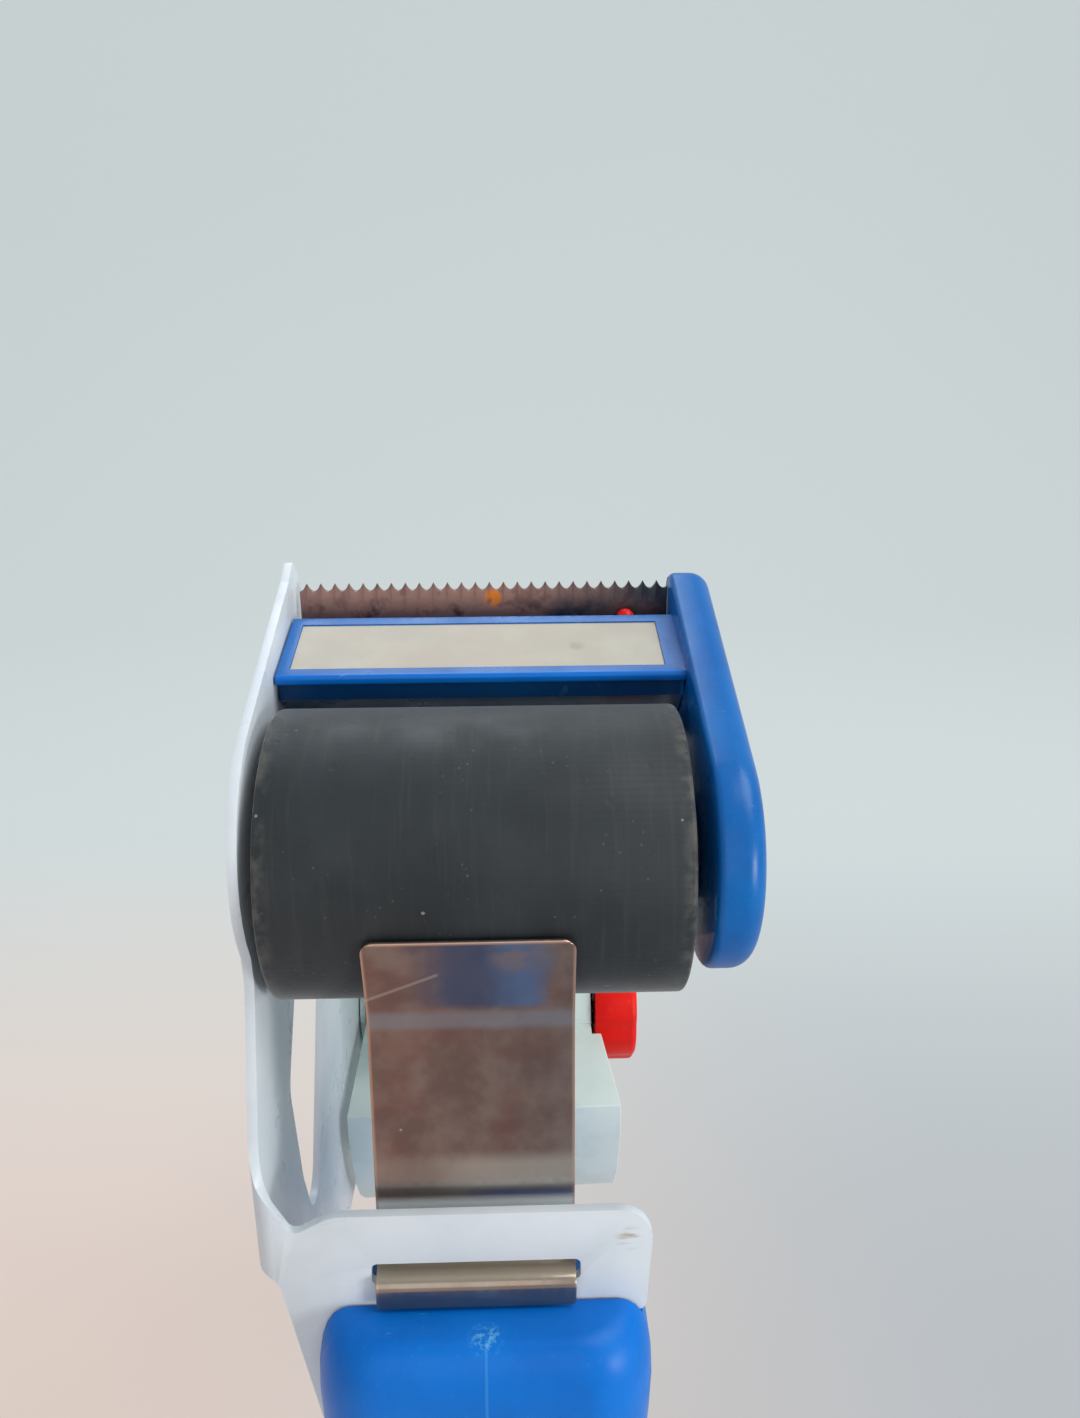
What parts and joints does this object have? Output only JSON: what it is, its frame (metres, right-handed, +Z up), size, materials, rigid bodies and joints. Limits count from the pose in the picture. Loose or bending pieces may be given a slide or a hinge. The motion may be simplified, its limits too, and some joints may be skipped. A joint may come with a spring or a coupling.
{
  "type": "handheld tape dispenser",
  "caption": "Handheld packing-tape dispenser: bent steel frame, moulded handle, rubber roller, serrated blade, sprung steel flap and a winged hub with a brake knob.",
  "frame": {"origin": "centre of the handle's flat butt", "axes": "+Z up the handle, +X along the roller and the hub to the right as seen from the roller's side, -Y to the front, where the roller and the flap are"},
  "size_m": [0.0649, 0.1386, 0.2025],
  "materials": {
    "white_paint": "gloss",
    "blue_plastic": "satin",
    "black_rubber": "matte",
    "dark_plastic": "matte",
    "zinc_steel": "satin",
    "blade_steel": "rusted",
    "bright_steel": "bright",
    "bare_label": "matte",
    "red_plastic": "satin",
    "mint_plastic": "satin",
    "fibre": "matte",
    "brass_nut": "satin"
  },
  "bodies": {
    "frame": {"frame_plate": "white_paint", "handle_grip": "blue_plastic", "handle_screw": "zinc_steel", "cutter_head": "blue_plastic", "label_strip": "bare_label", "cutter_blade": "blade_steel", "blade_screw_left": "zinc_steel", "blade_screw_right": "zinc_steel", "red_peg": "red_plastic", "head_screw_front": "zinc_steel", "head_screw_rear": "zinc_steel", "roller_axle": "zinc_steel", "axle_screw": "zinc_steel", "roller_washer_left": "dark_plastic", "roller_washer_right": "dark_plastic", "hub_axle": "zinc_steel", "hub_washer": "dark_plastic", "pressure_washer": "zinc_steel", "brake_spring": "zinc_steel"},
    "roller": {"roller_sleeve": "black_rubber", "roller_core": "dark_plastic", "roller_bush_left": "dark_plastic", "roller_bush_right": "dark_plastic"},
    "hub": {"hub_core": "mint_plastic", "friction_washer": "fibre"},
    "thrust": {"thrust_washer": "zinc_steel"},
    "knob": {"brake_knob": "red_plastic", "knob_nut": "brass_nut"},
    "flap": {"tape_flap": "bright_steel"}
  },
  "joints": [
    {"name": "roller_spin", "type": "hinge", "parent": "frame", "child": "roller", "pos_m": [0, 0.0175, 0.17], "axis": [1, 0, 0], "continuous": true},
    {"name": "hub_spin", "type": "hinge", "parent": "frame", "child": "hub", "pos_m": [0, 0.086, 0.1025], "axis": [1, 0, 0], "continuous": true},
    {"name": "brake_slide", "type": "slide", "parent": "frame", "child": "thrust", "axis": [1, 0, 0], "range_m": [-0.00063, 0.00063], "deforming": ["brake_spring"]},
    {"name": "knob_turn", "type": "hinge", "parent": "thrust", "child": "knob", "pos_m": [0, 0.086, 0.1025], "axis": [1, 0, 0], "range_deg": [-180, 180]},
    {"name": "flap_flex", "type": "hinge", "parent": "frame", "child": "flap", "pos_m": [0, -0.0039, 0.1222], "axis": [1, 0, 0], "range_deg": [0, 5], "stiffness_Nm_per_rad": 0.8}
  ],
  "couplings": [
    {"joint": "brake_slide", "follows": "knob_turn", "m_per_rad": 0.00019894}
  ]
}
